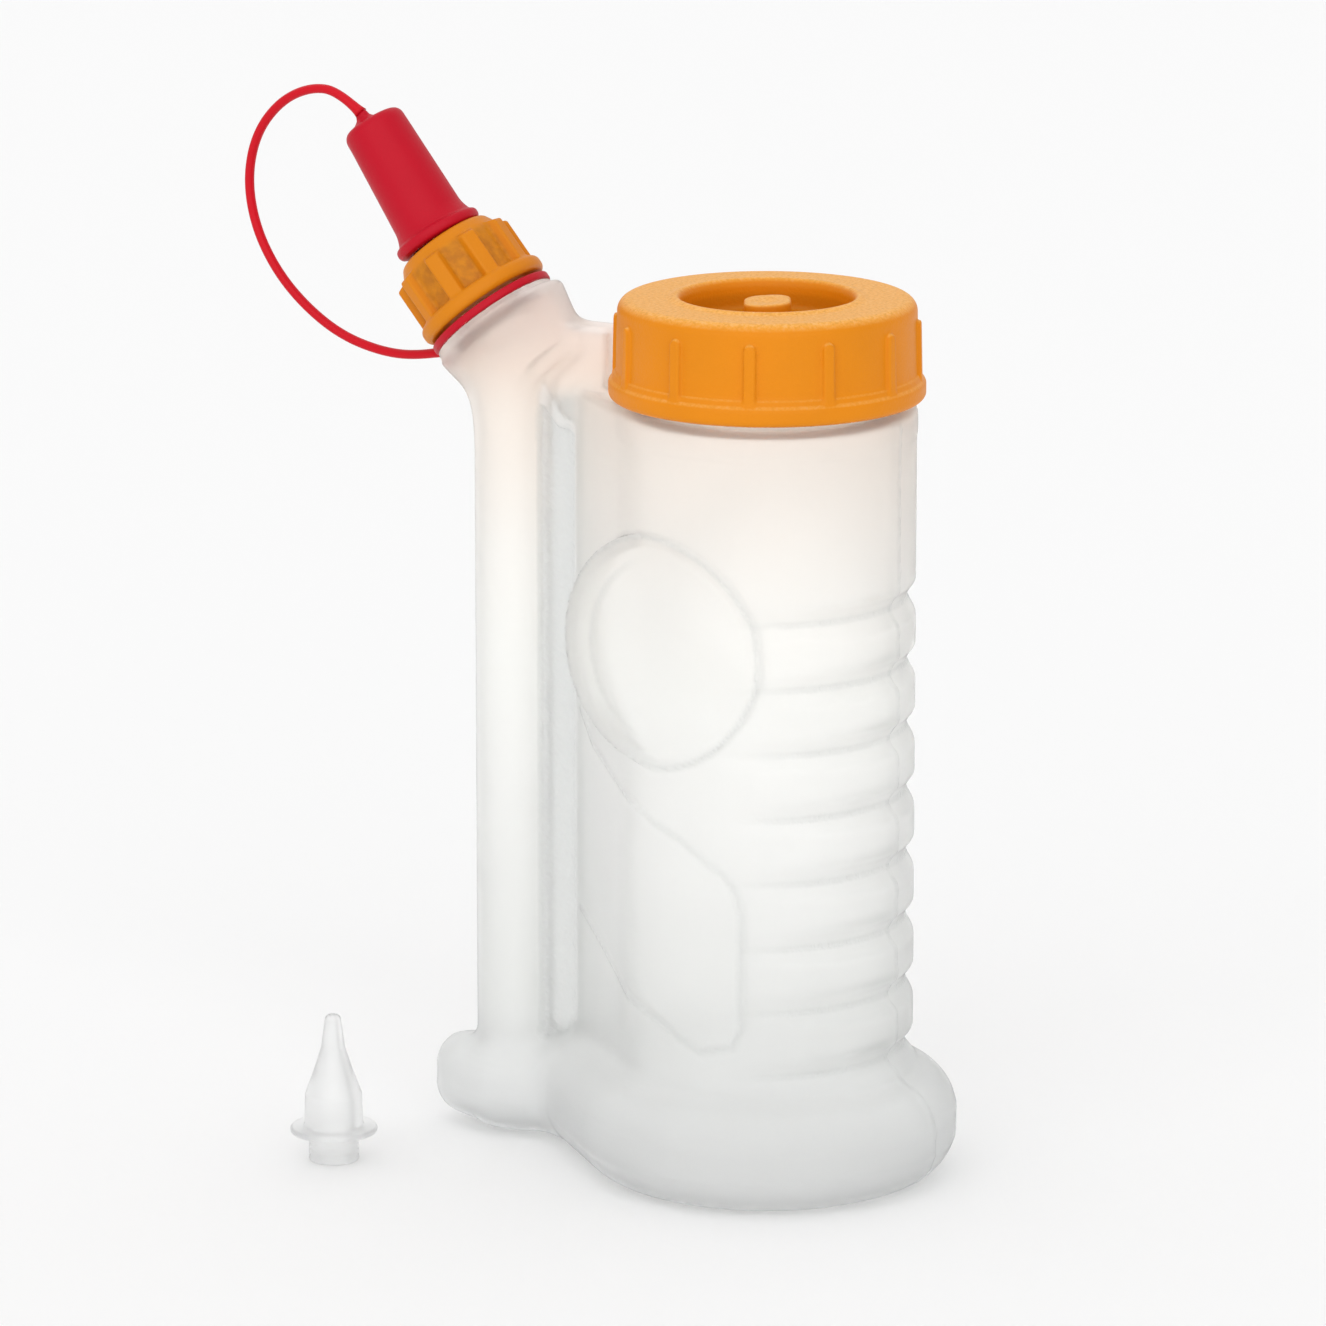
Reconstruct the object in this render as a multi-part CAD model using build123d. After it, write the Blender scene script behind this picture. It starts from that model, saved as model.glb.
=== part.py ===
"""Two-chamber squeeze bottle with a screw lid, a capped side spout and a spare nozzle tip.

Frame: millimetres, +Z up, origin on the floor on the axis of the main chamber. The XZ plane is
the bottle's plane of symmetry. The side tube and the spout lie towards -X, the grip grooves
towards +X. Every piece of the spout is drawn upright first, along its own axis, and is then put
in place by the spout's location, so "height" in those functions is the distance along the spout.
"""
from build123d import *
from math import cos, pi, radians, sin, sqrt
import os

# ---------------------------------------------------------------- driving dimensions
WALL = 1.2                      # blown wall of the bottle
GAP = 0.3                       # clearance between pieces that move apart

# main chamber
CHAMBER_R = 19.8                # outer radius of the round chamber
BAND_R = 20.0                   # slightly proud band under the lid
BAND_Z = 101.8                  # lower edge of that band
SHOULDER_Z = 105.6              # top of the shoulder under the lid
MOUTH_R = 17.2                  # outer radius of the mouth's neck
MOUTH_BORE_R = 15.4             # the opening that the bottle is filled through
MOUTH_TOP_Z = 117.2

# grip grooves on the +X side
GROOVE_COUNT = 8
GROOVE_TOP_Z = 79.8
GROOVE_PITCH = 8.8
GROOVE_SECTION_R = 2.05         # radius of the tool that presses each groove
GROOVE_DEPTH = 1.2              # at the +X pole
GROOVE_FADE = 62.0              # degrees from +X at which a groove runs out

# side tube, web and wedge that join it to the chamber
TUBE_X = -39.1
TUBE_R = 5.25
TUBE_TOP_Z = 108.8
WEB_HALF = 1.2                  # half thickness of the pinched web
WEB_TOP_Z = 103.2
WEDGE_TIP_X = -27.4             # where the chamber's wedge runs into the web
WEDGE_TIP_R = 2.05
WEDGE_TOP_Z = 105.2
GUSSET_X = -23.8                # free edge of the gusset beside the lid
GUSSET_TOP_Z = 113.8
GUSSET_LOW_Z = 99.5
GUSSET_HALF = 2.15

# round thumb pads, one on each side
PAD_X = -6.9
PAD_Z = 74.7
PAD_R = 15.6
PAD_TURN = 14.0                 # degrees that the pad's face turns towards the tube
PAD_REACH = 37.2                # length over which its flats are laid out
PAD_FLAT_HALF = 25.0            # half height of the flats before the circle trims them

# foot
FOOT_R = 25.9
FOOT_H = 15.1
FOOT_EDGE = 6.15                # rounding of its upper and lower edges
FOOT_NOSE_X = -28.8             # small end of the disc's drawn-out outline
FOOT_NOSE_R = 6.6
LOBE_LOW_Z = 1.1                # the lobe under the tube stands just off the floor
LOBE_H = 11.3
LOBE_ROOT_X, LOBE_ROOT_R = -39.1, 7.8
LOBE_END_X, LOBE_END_R = -46.1, 4.85
LOBE_EDGE = 4.3
BRIDGE_HALF = 5.8               # half width of the channel between lobe and disc
INNER_LOW_Z = 8.0               # chamber and tube start here, inside the foot

# screw lid
LID_LOW_Z = 106.7
LID_TOP_Z = 120.0
LID_R = 20.1
LID_FLANGE_R = 21.1
LID_FLANGE_H = 2.6
LID_BORE_R = 18.3
LID_PLATE = 1.6
LID_EDGE = 1.4
LID_RIBS = 12
LID_RIB_PHASE = -7.8            # degrees
LID_RIB_W = 1.6
LID_RIB_DEEP = 1.6              # radial size of a rib, most of it inside the wall
LID_RIB_PROUD = 0.3
RECESS_R = 11.4
RECESS_DEPTH = 3.9
POST_R = 3.2
POST_TOP_Z = 119.6
GASKET_T = 0.95

# spout: its axis leans towards -X
SPOUT_LEAN = 40.0               # degrees from vertical
SPOUT_X, SPOUT_Z = -42.0, 113.2 # the point on its axis where the collar ends (height 0)
COLLAR_R = 9.8
COLLAR_OFF = 0.4                # the collar stands off the spout's axis, away from the strap
COLLAR_LEN = 8.35
COLLAR_LAND_R = 9.0             # flat land at the collar's upper end, on which the ring lies
COLLAR_LAND_H = 0.7
FINISH_R = 5.95                 # threaded neck inside the nut
FINISH_TOP = 9.9
SPOUT_BORE_R = 3.65

# tether ring, spout nut
RING_IN_R = 6.9
RING_R = 9.2
RING_LOW, RING_T = 0.15, 0.95
NUT_LOW = 1.7
NUT_TOP = 12.4
NUT_R = 7.9
NUT_FLANGE_R = 9.4
NUT_FLANGE_H = 2.1
NUT_BORE_R = 6.8
NUT_MOUTH_R = 4.4
NUT_MOUTH_T = 1.45              # thickness of the rim that holds the tip down
NUT_RIBS = 9
NUT_RIB_PHASE = -76.0           # degrees, from the side away from the strap
NUT_RIB_W = 2.0
NUT_RIB_DEEP = 1.8
NUT_RIB_R = 8.8
NUT_RIB_SHORT = 2.3             # distance from the ribs' upper ends to the nut's top
ROOT = 0.2                      # how far an added feature sinks into what carries it

# nozzle tip: one fitted under the nut, one spare on the floor
TIP_STUB_R = 3.35
TIP_STUB_H = 4.0
TIP_FLANGE_R = 5.9
TIP_FLANGE_T = 0.85
TIP_BARREL_R = 4.0
TIP_BARREL_TOP = 9.4
TIP_CONE_TOP, TIP_CONE_R = 15.9, 1.55
TIP_END, TIP_END_R = 20.5, 0.95
TIP_BORE_R = 0.4
TIP_SEAT = FINISH_TOP + 0.05 - TIP_STUB_H      # height of the fitted tip's lower end
SPARE_X, SPARE_Y = -52.6, -25.9

# tip cap: it sits slightly cocked on the tip
CAP_LEAN = 35.6                 # degrees from vertical
CAP_BASE = 13.1                 # height of its rim along the spout
CAP_LEN = 18.7
CAP_RIM_R = 6.3
CAP_RIM_H = 1.5
CAP_LOW_R, CAP_TOP_R = 5.0, 4.4
CAP_BORE_R = 4.45
CAP_BORE_TOP_R = 3.15
CAP_BORE_LEN = 17.2
BOSS_R = 1.5
BOSS_OUT = 0.9                  # strap boss: offset from the cap's axis
BOSS_H = 1.85

# tether strap: route in the XZ plane, from the ring to the boss on the cap
STRAP_R = 0.65
STRAP_ROUTE = [
    (-49.38, 107.82), (-53.9, 106.7), (-59.8, 106.7), (-66.4, 108.4), (-72.2, 112.0),
    (-76.8, 116.6), (-80.0, 122.4), (-81.1, 128.9), (-79.6, 135.2), (-75.7, 139.9),
    (-70.9, 142.2), (-66.4, 142.1), (-62.8, 139.3),
]
STRAP_BEND = 0.45               # share of the shorter run that each arc takes


# ---------------------------------------------------------------- helpers
def ring_profile(*points):
    """Solid of revolution about Z from (radius, height) corners."""
    outline = Polyline(*[(r, 0, z) for r, z in points], close=True)
    return revolve(make_face(outline), Axis.Z)


def cylinder(radius, low, high, x=0.0, y=0.0):
    body = Cylinder(radius, high - low, align=(Align.CENTER, Align.CENTER, Align.MIN))
    return Pos(x, y, low) * body


def box_between(x0, x1, y_half, z0, z1):
    size = (x1 - x0, 2 * y_half, z1 - z0)
    return Pos((x0 + x1) / 2, 0, (z0 + z1) / 2) * Box(*size)


def drawn_out_disc(big_x, big_r, small_x, small_r, low, high):
    """Prism over two circles on the X axis and their outer tangents."""
    sine = (big_r - small_r) / (big_x - small_x)
    cosine = sqrt(1 - sine * sine)
    corners = []
    for x, r, side in ((big_x, big_r, 1), (small_x, small_r, 1),
                       (small_x, small_r, -1), (big_x, big_r, -1)):
        corners.append((x - r * sine, side * r * cosine))
    middle = Pos(0, 0, low) * extrude(make_face(Polyline(*corners, close=True)), high - low)
    return middle + cylinder(big_r, low, high, big_x) + cylinder(small_r, low, high, small_x)


def soft_edges(body, radius):
    """Round every edge that lies in the body's top and bottom planes."""
    faces = body.faces().sort_by(Axis.Z)
    return fillet(faces[0].edges() + faces[-1].edges(), radius)


def on_spout(body, lean=SPOUT_LEAN, height=0.0):
    """Put a body drawn along Z onto the spout's axis, its own zero at the given height."""
    lean_dir = radians(SPOUT_LEAN)
    x = SPOUT_X - height * sin(lean_dir)
    z = SPOUT_Z + height * cos(lean_dir)
    return Pos(x, 0, z) * Rot(0, -lean, 0) * body


def write(name, body):
    body.label = name
    export_step(body, os.path.join("parts", name + ".step"))


# ---------------------------------------------------------------- bottle
def thumb_pads(radius, chamber_r):
    """Both round pads: flats that leave the chamber as tangents and lean in to the tube."""
    far_r = chamber_r - PAD_REACH * sin(radians(PAD_TURN))
    flats = drawn_out_disc(0, chamber_r, -PAD_REACH, far_r, PAD_Z - PAD_FLAT_HALF,
                           PAD_Z + PAD_FLAT_HALF)
    outline = Pos(PAD_X, 0, PAD_Z) * Rot(90, 0, 0) * Cylinder(radius, 3 * CHAMBER_R)
    return flats & outline


def bottle_outside():
    foot = soft_edges(drawn_out_disc(0, FOOT_R, FOOT_NOSE_X, FOOT_NOSE_R, 0, FOOT_H), FOOT_EDGE)
    lobe = soft_edges(
        drawn_out_disc(LOBE_ROOT_X, LOBE_ROOT_R, LOBE_END_X, LOBE_END_R,
                       LOBE_LOW_Z, LOBE_LOW_Z + LOBE_H), LOBE_EDGE)
    bridge = box_between(LOBE_ROOT_X, -CHAMBER_R, BRIDGE_HALF, LOBE_LOW_Z, LOBE_LOW_Z + LOBE_H)
    chamber = cylinder(CHAMBER_R, INNER_LOW_Z, BAND_Z) + cylinder(BAND_R, BAND_Z, SHOULDER_Z)
    wedge = drawn_out_disc(0, CHAMBER_R, WEDGE_TIP_X, WEDGE_TIP_R, INNER_LOW_Z, WEDGE_TOP_Z)
    mouth = cylinder(MOUTH_R, SHOULDER_Z - WALL, MOUTH_TOP_Z)
    tube = cylinder(TUBE_R, INNER_LOW_Z, TUBE_TOP_Z, TUBE_X)
    web = box_between(TUBE_X, -CHAMBER_R + WALL, WEB_HALF, INNER_LOW_Z, WEB_TOP_Z)
    gusset = box_between(TUBE_X, GUSSET_X, GUSSET_HALF, GUSSET_LOW_Z, GUSSET_TOP_Z)
    collar = on_spout(cylinder(COLLAR_R, -COLLAR_LEN, -COLLAR_LAND_H, COLLAR_OFF)
                      + cylinder(COLLAR_LAND_R, -COLLAR_LAND_H, 0))
    finish = on_spout(cylinder(FINISH_R, -WALL, FINISH_TOP))
    outside = foot + lobe + bridge + chamber + wedge + mouth + tube + web + gusset
    outside += thumb_pads(PAD_R, CHAMBER_R)
    outside += collar
    outside += finish
    return outside


def bottle_inside():
    """The glue space: chamber, foot channel, tube and spout bore in one volume."""
    foot = drawn_out_disc(0, FOOT_R - WALL, FOOT_NOSE_X, FOOT_NOSE_R - WALL, WALL, FOOT_H - WALL)
    foot = soft_edges(foot, FOOT_EDGE - WALL)
    low, high = LOBE_LOW_Z + WALL, LOBE_LOW_Z + LOBE_H - WALL
    lobe = drawn_out_disc(LOBE_ROOT_X, LOBE_ROOT_R - WALL, LOBE_END_X, LOBE_END_R - WALL, low, high)
    lobe = soft_edges(lobe, LOBE_EDGE - WALL)
    channel = box_between(LOBE_ROOT_X, -CHAMBER_R, BRIDGE_HALF - WALL, low, high)
    chamber = cylinder(CHAMBER_R - WALL, INNER_LOW_Z, SHOULDER_Z - WALL)
    wedge = drawn_out_disc(0, CHAMBER_R - WALL, WEDGE_TIP_X + WALL, WEDGE_TIP_R - WALL / 2,
                           INNER_LOW_Z, WEDGE_TOP_Z - WALL)
    pads = thumb_pads(PAD_R - WALL, CHAMBER_R - WALL)
    mouth = cylinder(MOUTH_BORE_R, SHOULDER_Z - 2 * WALL, MOUTH_TOP_Z + 1)
    tube = cylinder(TUBE_R - WALL, INNER_LOW_Z, TUBE_TOP_Z, TUBE_X)
    collar = on_spout(cylinder(COLLAR_R - 2 * WALL, -COLLAR_LEN + 2 * WALL, -COLLAR_LAND_H - WALL,
                               COLLAR_OFF))
    bore = on_spout(cylinder(SPOUT_BORE_R, -COLLAR_LEN / 2, FINISH_TOP + 1))
    inside = foot + lobe + channel + chamber + wedge + pads + mouth + tube + collar + bore
    return inside


def groove(index, thicker=0.0):
    """One grip groove: a ring pressed in off-centre, so that it fades out round the sides."""
    press = GROOVE_DEPTH / (1 - cos(radians(GROOVE_FADE)))
    ring_r = CHAMBER_R + GROOVE_SECTION_R - GROOVE_DEPTH + press
    z = GROOVE_TOP_Z - index * GROOVE_PITCH
    ring = Torus(ring_r, GROOVE_SECTION_R + thicker)
    front = Pos(ring_r, 0, 0) * Box(2 * ring_r, 4 * ring_r, 4 * GROOVE_SECTION_R)
    return Pos(-press, 0, z) * (ring & front)


def bottle_body():
    outside = bottle_outside()
    inside = bottle_inside()
    for index in range(GROOVE_COUNT):
        outside -= groove(index)
        inside -= groove(index, WALL)
    return outside - inside


# ---------------------------------------------------------------- lid
def lid_rib(angle):
    low = LID_LOW_Z + LID_FLANGE_H - ROOT
    high = LID_TOP_Z - LID_EDGE - 1.0
    middle_x = LID_R + LID_RIB_PROUD - LID_RIB_DEEP / 2
    rib = Pos(middle_x, 0, (low + high) / 2) * Box(LID_RIB_DEEP, LID_RIB_W, high - low)
    return Rot(0, 0, angle) * rib


def screw_lid():
    inner_low = LID_TOP_Z - RECESS_DEPTH - LID_PLATE
    inner_high = LID_TOP_Z - LID_PLATE
    inner_r = RECESS_R + LID_PLATE
    lid = ring_profile(
        (0, inner_low), (inner_r, inner_low), (inner_r, inner_high), (LID_BORE_R, inner_high),
        (LID_BORE_R, LID_LOW_Z), (LID_FLANGE_R, LID_LOW_Z),
        (LID_FLANGE_R, LID_LOW_Z + LID_FLANGE_H), (LID_R, LID_LOW_Z + LID_FLANGE_H),
        (LID_R, LID_TOP_Z - LID_EDGE), (LID_R - 0.45, LID_TOP_Z - 0.45), (LID_R - LID_EDGE, LID_TOP_Z),
        (RECESS_R, LID_TOP_Z), (RECESS_R, LID_TOP_Z - RECESS_DEPTH), (0, LID_TOP_Z - RECESS_DEPTH))
    lid += cylinder(POST_R, LID_TOP_Z - RECESS_DEPTH - 0.5, POST_TOP_Z)
    for index in range(LID_RIBS):
        lid += lid_rib(LID_RIB_PHASE + index * 360 / LID_RIBS)
    return lid


def lid_gasket():
    high = LID_TOP_Z - LID_PLATE - 0.05
    return cylinder(LID_BORE_R - GAP, high - GASKET_T, high) - cylinder(
        RECESS_R + LID_PLATE + GAP, high - GASKET_T - 1, high + 1)


# ---------------------------------------------------------------- spout
def nozzle_tip():
    """Tip drawn upright, standing on its stub."""
    low_bore = TIP_STUB_R - 0.9
    body = ring_profile(
        (low_bore, 0), (TIP_STUB_R, 0), (TIP_STUB_R, TIP_STUB_H), (TIP_FLANGE_R, TIP_STUB_H),
        (TIP_FLANGE_R, TIP_STUB_H + TIP_FLANGE_T), (TIP_BARREL_R, TIP_STUB_H + TIP_FLANGE_T),
        (TIP_BARREL_R, TIP_BARREL_TOP), (TIP_CONE_R, TIP_CONE_TOP), (TIP_END_R, TIP_END),
        (TIP_BORE_R, TIP_END), (TIP_BORE_R + 0.35, TIP_CONE_TOP), (low_bore, TIP_BARREL_TOP - 0.6))
    return body


def spout_nut():
    nut = ring_profile(
        (NUT_BORE_R, NUT_LOW), (NUT_FLANGE_R, NUT_LOW), (NUT_FLANGE_R, NUT_LOW + NUT_FLANGE_H - 0.6),
        (NUT_FLANGE_R - 0.6, NUT_LOW + NUT_FLANGE_H), (NUT_R, NUT_LOW + NUT_FLANGE_H),
        (NUT_R, NUT_TOP - 1.6), (NUT_R - 0.5, NUT_TOP - 0.5), (NUT_R - 1.6, NUT_TOP),
        (NUT_MOUTH_R, NUT_TOP), (NUT_MOUTH_R, NUT_TOP - NUT_MOUTH_T),
        (NUT_BORE_R, NUT_TOP - NUT_MOUTH_T))
    low, high = NUT_LOW + NUT_FLANGE_H - ROOT, NUT_TOP - NUT_RIB_SHORT
    middle_x = NUT_RIB_R - NUT_RIB_DEEP / 2
    for index in range(NUT_RIBS):
        rib = Pos(middle_x, 0, (low + high) / 2) * Box(NUT_RIB_DEEP, NUT_RIB_W, high - low)
        nut += Rot(0, 0, NUT_RIB_PHASE + index * 360 / NUT_RIBS) * rib
    return nut


def tip_cap():
    """Cap drawn upright, rim at zero."""
    rounding = 1.2
    cap = ring_profile(
        (CAP_BORE_R, 0), (CAP_RIM_R, 0), (CAP_RIM_R, CAP_RIM_H), (CAP_LOW_R, CAP_RIM_H + 1.4),
        (CAP_TOP_R, CAP_LEN - rounding), (CAP_TOP_R - 0.35, CAP_LEN - 0.35),
        (CAP_TOP_R - rounding, CAP_LEN), (0, CAP_LEN), (0, CAP_BORE_LEN),
        (CAP_BORE_TOP_R - 1.0, CAP_BORE_LEN), (CAP_BORE_TOP_R, CAP_BORE_LEN - 1.0),
        (CAP_BORE_R - 0.5, 5.0), (CAP_BORE_R, 2.6))
    boss = cylinder(BOSS_R, CAP_LEN - 0.8, CAP_LEN + BOSS_H, -BOSS_OUT)
    return cap + boss


def bend_radii(points):
    """Arc radius at each inner corner: a share of the shorter run over tan of half the turn."""
    radii = []
    for before, here, after in zip(points, points[1:], points[2:]):
        run_in = Vector(here[0] - before[0], 0, here[1] - before[1])
        run_out = Vector(after[0] - here[0], 0, after[1] - here[1])
        half_turn = radians(run_in.get_angle(run_out)) / 2
        shorter = min(run_in.length, run_out.length)
        radii.append(STRAP_BEND * shorter * cos(half_turn) / sin(half_turn))
    return radii


def tether_strap():
    radii = bend_radii(STRAP_ROUTE)
    print("strap bend radii:", [round(r, 1) for r in radii])
    path = FilletPolyline(*[(x, 0, z) for x, z in STRAP_ROUTE], radius=radii)
    start = Plane(origin=path @ 0, z_dir=path % 0)
    strap = sweep(start * Circle(STRAP_R), path=path)
    print("strap length:", round(path.length, 1), "volume check:",
          round(strap.volume / (path.length * pi * STRAP_R ** 2), 4))
    return strap


# ---------------------------------------------------------------- all pieces
def main():
    os.makedirs("parts", exist_ok=True)
    ring = on_spout(cylinder(RING_R, RING_LOW, RING_LOW + RING_T)
                    - cylinder(RING_IN_R, RING_LOW - 1, RING_LOW + RING_T + 1))
    cap = on_spout(tip_cap(), CAP_LEAN, CAP_BASE)
    strap = tether_strap() - ring - cap
    write("bottle_body", bottle_body())
    write("screw_lid", screw_lid())
    write("lid_gasket", lid_gasket())
    write("spout_nut", on_spout(spout_nut()))
    write("nozzle_tip", on_spout(nozzle_tip(), height=TIP_SEAT))
    write("tether_ring", ring)
    write("tether_strap", strap)
    write("tip_cap", cap)
    write("spare_tip", Pos(SPARE_X, SPARE_Y, 0) * nozzle_tip())


main()
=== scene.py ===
"""Looks of the two-chamber squeeze bottle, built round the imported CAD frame. Metres in Blender;
the shapes are worked out in millimetres and scaled when their meshes are made."""
import math

import bpy
import numpy as np
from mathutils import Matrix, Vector


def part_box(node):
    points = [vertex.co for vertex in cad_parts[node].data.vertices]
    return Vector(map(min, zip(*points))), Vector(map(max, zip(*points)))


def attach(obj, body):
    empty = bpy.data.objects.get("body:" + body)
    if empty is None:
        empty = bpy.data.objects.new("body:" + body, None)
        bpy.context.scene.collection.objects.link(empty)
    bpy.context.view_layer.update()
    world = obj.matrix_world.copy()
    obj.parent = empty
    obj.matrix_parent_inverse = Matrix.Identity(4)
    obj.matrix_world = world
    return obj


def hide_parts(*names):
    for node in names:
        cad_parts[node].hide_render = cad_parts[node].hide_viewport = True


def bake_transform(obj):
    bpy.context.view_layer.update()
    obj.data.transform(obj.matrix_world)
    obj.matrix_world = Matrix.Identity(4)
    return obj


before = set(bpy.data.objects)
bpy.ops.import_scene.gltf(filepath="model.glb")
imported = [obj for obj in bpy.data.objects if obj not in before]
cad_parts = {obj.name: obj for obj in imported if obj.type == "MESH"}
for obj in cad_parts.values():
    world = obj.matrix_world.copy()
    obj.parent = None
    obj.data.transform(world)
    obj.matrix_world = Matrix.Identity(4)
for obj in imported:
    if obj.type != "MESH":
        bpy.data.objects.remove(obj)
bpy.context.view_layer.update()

MM = 0.001
COLLECTION = bpy.context.scene.collection


def cad_box(node):
    low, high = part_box(node)
    return np.array(low) / MM, np.array(high) / MM


# ------------------------------------------------------------------ fields (distances, mm)
def smooth_min(a, b, k):
    h = np.clip(k - np.abs(a - b), 0, None) / k
    return np.minimum(a, b) - h * h * k / 4


def smooth_max(a, b, k):
    return -smooth_min(-a, -b, k)


def length(*parts):
    total = parts[0] * parts[0]
    for part in parts[1:]:
        total = total + part * part
    return np.sqrt(total)


def box_2d(u, v, half_u, half_v, rounding):
    du = np.abs(u) - half_u + rounding
    dv = np.abs(v) - half_v + rounding
    return length(np.maximum(du, 0), np.maximum(dv, 0)) + np.minimum(np.maximum(du, dv), 0) - rounding


def slab(v, low, high):
    return np.maximum(low - v, v - high)


def ramp_up(v, k):
    """v where it is positive, 0 below, with a soft corner."""
    return -smooth_min(-v, 0.0, k)


def near(v, width):
    return np.exp(-(v / width) ** 2)


def rod(r, v, radius, low, high, rounding):
    """Cylinder given by its distance r from its axis and its place v along it."""
    return box_2d(r, v - (low + high) / 2, radius, (high - low) / 2, rounding)


def egg_2d(x, y, big_x, big_r, small_x, small_r):
    """Distance to two circles on the X axis and their outer tangents, small one towards -X."""
    y = np.abs(y)
    u = big_x - x
    span = big_x - small_x
    sine = (big_r - small_r) / span
    cosine = math.sqrt(1 - sine * sine)
    along = u * cosine - y * sine
    return np.where(
        along < 0, length(u, y) - big_r,
        np.where(along > cosine * span, length(u - span, y) - small_r, u * sine + y * cosine - big_r))


def prism(plan, z, low, high, rounding):
    """Plan outline drawn up from low to high, its edges rounded."""
    half = (high - low) / 2
    dv = np.abs(z - (low + high) / 2) - half + rounding
    du = plan + rounding
    return length(np.maximum(du, 0), np.maximum(dv, 0)) + np.minimum(np.maximum(du, dv), 0) - rounding


def step_up(v, at, width):
    """0 below at, 1 above it, over the given width."""
    t = np.clip((v - at) / width + 0.5, 0, 1)
    return t * t * (3 - 2 * t)


# ------------------------------------------------------------------ mesh from a field
EDGE_ENDS = [((0, 0, 0), (1, 0, 0)), ((0, 1, 0), (1, 1, 0)), ((0, 0, 1), (1, 0, 1)), ((0, 1, 1), (1, 1, 1)),
             ((0, 0, 0), (0, 1, 0)), ((1, 0, 0), (1, 1, 0)), ((0, 0, 1), (0, 1, 1)), ((1, 0, 1), (1, 1, 1)),
             ((0, 0, 0), (0, 0, 1)), ((1, 0, 0), (1, 0, 1)), ((0, 1, 0), (0, 1, 1)), ((1, 1, 0), (1, 1, 1))]


def gradient(field, points, reach):
    g = np.empty_like(points)
    for axis in range(3):
        ahead, behind = points.copy(), points.copy()
        ahead[:, axis] += reach
        behind[:, axis] -= reach
        g[:, axis] = (field(*ahead.T) - field(*behind.T)) / (2 * reach)
    return g


def unfolded(points, faces, rounds=4):
    """Points where faces fold over one another go to the middle of the faces around them."""
    owner = faces.ravel()
    many = np.bincount(owner, minlength=len(points))
    for _ in range(rounds):
        corners = points[faces]
        normal = np.cross(corners[:, 2] - corners[:, 0], corners[:, 3] - corners[:, 1])
        normal /= np.linalg.norm(normal, axis=1, keepdims=True) + 1e-12
        both = np.concatenate([normal, corners.mean(axis=1)], axis=1)
        sums = [np.bincount(owner, np.repeat(both[:, i], 4), len(points)) for i in range(6)]
        mean = np.stack(sums, 1) / np.maximum(many, 1)[:, None]
        folded = (np.linalg.norm(mean[:, :3], axis=1) < 0.62) & (many > 0)
        points = np.where(folded[:, None], mean[:, 3:], points)
    return points


def net_surface(field, low, high, step, pulls=3, mirror_y=False, rough_field=None):
    """Closed quad surface of field = 0: one point per crossed cell, then pulled onto the surface.
    The cells are found on rough_field where the field adds only small detail to it."""
    rough_field = rough_field or field
    low, high = np.array(low, float), np.array(high, float)
    counts = np.ceil((high - low) / step).astype(int) + 1
    axes = [low[i] + step * np.arange(counts[i]) for i in range(3)]
    if mirror_y:
        half = int(np.ceil(high[1] / step)) + 1
        axes[1] = (np.arange(-half, half) + 0.5) * step
        counts[1] = len(axes[1])
        upper = axes[1][half:]
        grid = np.meshgrid(axes[0], upper, axes[2], indexing="ij")
        values = rough_field(*grid)
        values = np.concatenate([values[:, ::-1, :], values], axis=1)
    else:
        values = rough_field(*np.meshgrid(*axes, indexing="ij"))
    values = np.where(values == 0, 1e-6, values)
    inside = values < 0
    cells = [counts[i] - 1 for i in range(3)]

    def corner(array, c):
        return array[c[0]:c[0] + cells[0], c[1]:c[1] + cells[1], c[2]:c[2] + cells[2]]

    total = np.zeros(cells, np.int8)
    for c in ((i, j, k) for i in (0, 1) for j in (0, 1) for k in (0, 1)):
        total += corner(inside, c)
    mixed = (total > 0) & (total < 8)
    where = np.argwhere(mixed)
    index = np.full(cells, -1, np.int64)
    index[mixed] = np.arange(len(where))
    summed = np.zeros((len(where), 3))
    hits = np.zeros(len(where))
    for a, b in EDGE_ENDS:
        va = values[where[:, 0] + a[0], where[:, 1] + a[1], where[:, 2] + a[2]]
        vb = values[where[:, 0] + b[0], where[:, 1] + b[1], where[:, 2] + b[2]]
        crossed = (va < 0) != (vb < 0)
        t = np.where(crossed, va / np.where(crossed, va - vb, 1), 0)
        for axis in range(3):
            summed[:, axis] += np.where(crossed, a[axis] + t * (b[axis] - a[axis]), 0)
        hits += crossed
    origin = np.array([axes[0][0], axes[1][0], axes[2][0]])
    points = origin + step * (where + summed / hits[:, None])
    faces = []
    for axis in range(3):
        u, v = (axis + 1) % 3, (axis + 2) % 3
        first = [slice(None)] * 3
        second = [slice(None)] * 3
        first[axis], second[axis] = slice(0, -1), slice(1, None)
        a, b = inside[tuple(first)], inside[tuple(second)]
        edge = np.argwhere(a != b)
        ok = (edge[:, u] > 0) & (edge[:, v] > 0) & (edge[:, u] < cells[u]) & (edge[:, v] < cells[v])
        edge = edge[ok]
        starts_in = a[edge[:, 0], edge[:, 1], edge[:, 2]]
        quad = []
        for du, dv in ((0, 0), (1, 0), (1, 1), (0, 1)):
            cell = edge.copy()
            cell[:, u] -= du
            cell[:, v] -= dv
            quad.append(index[cell[:, 0], cell[:, 1], cell[:, 2]])
        quad = np.stack(quad, 1)
        quad[~starts_in] = quad[~starts_in][:, ::-1]
        faces.append(quad)
    faces = np.concatenate(faces)
    start = points.copy()
    for _ in range(pulls):
        value = field(*points.T)
        g = gradient(field, points, step * 0.2)
        size = np.maximum((g * g).sum(1), 0.25)
        points = points - np.clip(value, -step, step)[:, None] * g / size[:, None]
        drift = points - start
        far = np.maximum(np.linalg.norm(drift, axis=1) / (0.9 * step), 1)
        points = start + drift / far[:, None]
    return unfolded(points, faces), faces


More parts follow.
